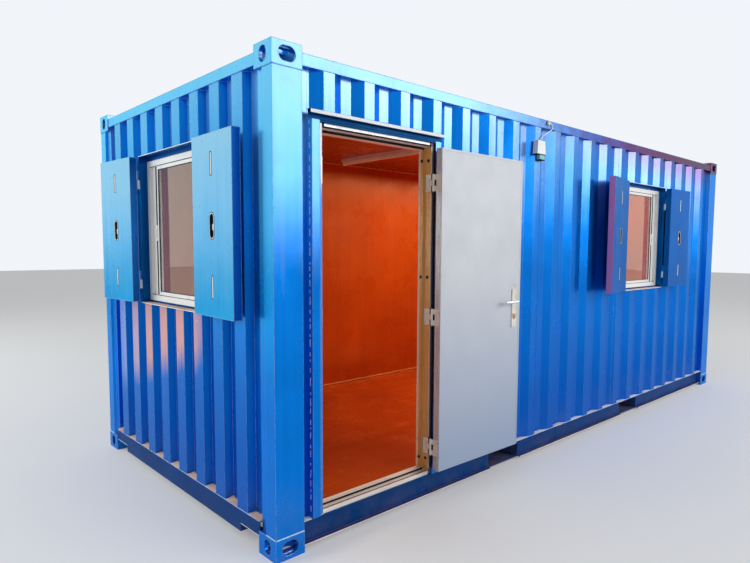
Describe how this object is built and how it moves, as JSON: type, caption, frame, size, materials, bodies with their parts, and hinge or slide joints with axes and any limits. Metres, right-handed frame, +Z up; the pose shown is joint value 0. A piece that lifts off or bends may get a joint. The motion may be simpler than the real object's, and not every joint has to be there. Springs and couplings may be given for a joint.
{
  "type": "shipping container cabin",
  "caption": "Steel shipping container turned into a cabin, with a side door, shuttered sliding windows, lined inside and boarded floor.",
  "frame": {"origin": "middle of the four lower corner castings, on the ground plane", "axes": "+X along the length, away from the window end; the door side faces -Y; +Z up"},
  "size_m": [6.1725, 2.6082, 2.591],
  "materials": {
    "container_blue": "satin, weathered",
    "underframe_blue": "matt, dusty",
    "lining_board": "satin stained board",
    "floor_board": "satin",
    "galvanised": "dull",
    "window_white": "white coated",
    "window_glass": "clear",
    "light_white": "opal",
    "lamp_white": "matt",
    "hinge_brass": "worn",
    "door_grey": "matt",
    "lock_metal": "satin"
  },
  "bodies": {
    "cabin": {"castings_bottom": "container_blue", "castings_top": "container_blue", "corner_posts": "container_blue", "top_side_rails": "container_blue", "top_end_rails": "container_blue", "bottom_side_rails": "container_blue", "bottom_end_sills": "container_blue", "floor_cross_members": "underframe_blue", "fork_pockets": "underframe_blue", "floor_deck": "floor_board", "roof_panel": "container_blue", "front_wall": "container_blue", "window_end_wall": "container_blue", "wall_pieces_at_openings": "container_blue", "back_wall": "container_blue", "plain_end_wall": "container_blue", "front_lining": "lining_board", "end_linings": "lining_board", "lining_pieces_at_openings": "lining_board", "back_lining": "lining_board", "ceiling_lining": "lining_board", "door_frame_sides": "container_blue", "door_frame_head": "container_blue", "door_jambs": "galvanised", "door_jamb_head": "galvanised", "door_threshold": "galvanised", "door_hood": "container_blue", "window_surround_sides": "container_blue", "window_surround_rails": "container_blue", "window_frames": "window_white", "window_sashes": "window_white", "window_glass": "window_glass", "ceiling_light": "light_white", "outside_lamp": "lamp_white", "lamp_cable": "lamp_white", "door_frame_hinges": "hinge_brass", "shutter_hinge_pins": "container_blue"},
    "door": {"door_leaf": "door_grey", "door_leaf_hinges": "hinge_brass", "lock_set": "lock_metal"},
    "lever": {"lever_handle": "lock_metal"},
    "shutter_end_near": {"shutter_end_near": "container_blue"},
    "shutter_end_far": {"shutter_end_far": "container_blue"},
    "shutter_front_left": {"shutter_front_left": "container_blue"},
    "shutter_front_right": {"shutter_front_right": "container_blue"}
  },
  "joints": [
    {"name": "door_hinge", "type": "hinge", "parent": "cabin", "child": "door", "pos_m": [-1.893, -1.228, 1.2], "axis": [0, 0, 1], "range_deg": [-178.9, 1.1]},
    {"name": "lever_turn", "type": "hinge", "parent": "door", "child": "lever", "pos_m": [-1.14344, -1.3104, 1.236], "axis": [-0.0192, -0.9998, 0], "range_deg": [0, 40], "stiffness_Nm_per_rad": 0.8, "springref_deg": -34.38},
    {"name": "shutter_end_near_hinge", "type": "hinge", "parent": "cabin", "child": "shutter_end_near", "pos_m": [-3.05, -0.521, 1.712], "axis": [0, 0, 1], "range_deg": [-178.6, 1.4]},
    {"name": "shutter_end_far_hinge", "type": "hinge", "parent": "cabin", "child": "shutter_end_far", "pos_m": [-3.05, 0.421, 1.712], "axis": [0, 0, 1], "range_deg": [-4.5, 175.5]},
    {"name": "shutter_front_left_hinge", "type": "hinge", "parent": "cabin", "child": "shutter_front_left", "pos_m": [0.605, -1.24, 1.712], "axis": [0, 0, 1], "range_deg": [-11.5, 168.5]},
    {"name": "shutter_front_right_hinge", "type": "hinge", "parent": "cabin", "child": "shutter_front_right", "pos_m": [1.547, -1.24, 1.712], "axis": [0, 0, 1], "range_deg": [-179, 1]}
  ]
}
